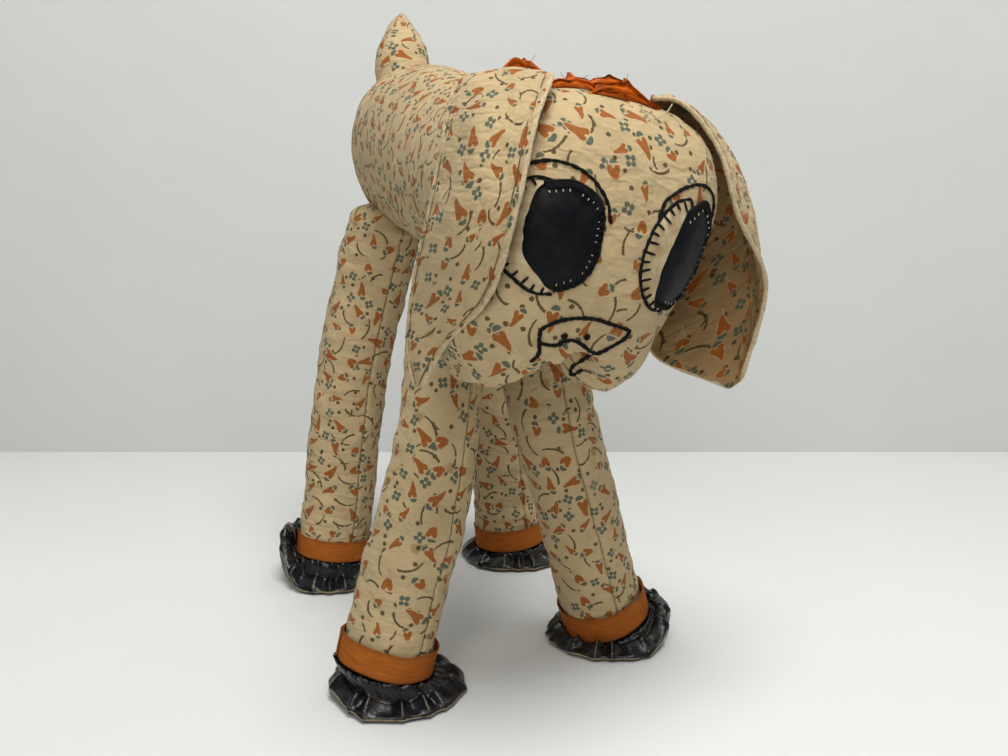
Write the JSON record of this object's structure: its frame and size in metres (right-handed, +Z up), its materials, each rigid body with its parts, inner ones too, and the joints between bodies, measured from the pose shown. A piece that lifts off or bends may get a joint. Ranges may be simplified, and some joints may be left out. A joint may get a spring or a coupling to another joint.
{
  "type": "stuffed cloth dog",
  "caption": "Standing stuffed dog sewn from printed cotton, with hanging ears, an upright tail, patched eyes, taped ankles and gathered oilcloth feet.",
  "frame": {"origin": "on the ground, under the middle of the dog's bounding box", "axes": "+Z up; -Y the way the dog looks; +X towards the dog's own left"},
  "size_m": [0.1836, 0.2958, 0.3223],
  "materials": {
    "printed_cotton": "plain-weave cotton, tan, printed with small orange, teal and brown motifs",
    "black_oilcloth": "glossy coated cloth, worn and crazed along the pleats",
    "cream_oilcloth": "coated cloth, yellowed, low sheen",
    "orange_tape": "cotton bias tape, rust orange",
    "orange_ribbon": "rayon ribbon, crumpled, satin sheen"
  },
  "bodies": {
    "root": {"head": "printed_cotton", "torso": "printed_cotton", "tail": "printed_cotton", "ear_right": "printed_cotton", "ear_left": "printed_cotton", "leg_front_right": "printed_cotton", "leg_front_left": "printed_cotton", "leg_hind_right": "printed_cotton", "leg_hind_left": "printed_cotton", "ankle_band_front_right": "orange_tape", "ankle_band_front_left": "orange_tape", "ankle_band_hind_right": "orange_tape", "ankle_band_hind_left": "orange_tape", "foot_front_right": "black_oilcloth", "foot_front_left": "black_oilcloth", "foot_hind_right": "black_oilcloth", "foot_hind_left": "black_oilcloth", "eye_white_right": "cream_oilcloth", "eye_white_left": "cream_oilcloth", "pupil_right": "black_oilcloth", "pupil_left": "black_oilcloth", "ribbon": "orange_ribbon"}
  },
  "joints": []
}
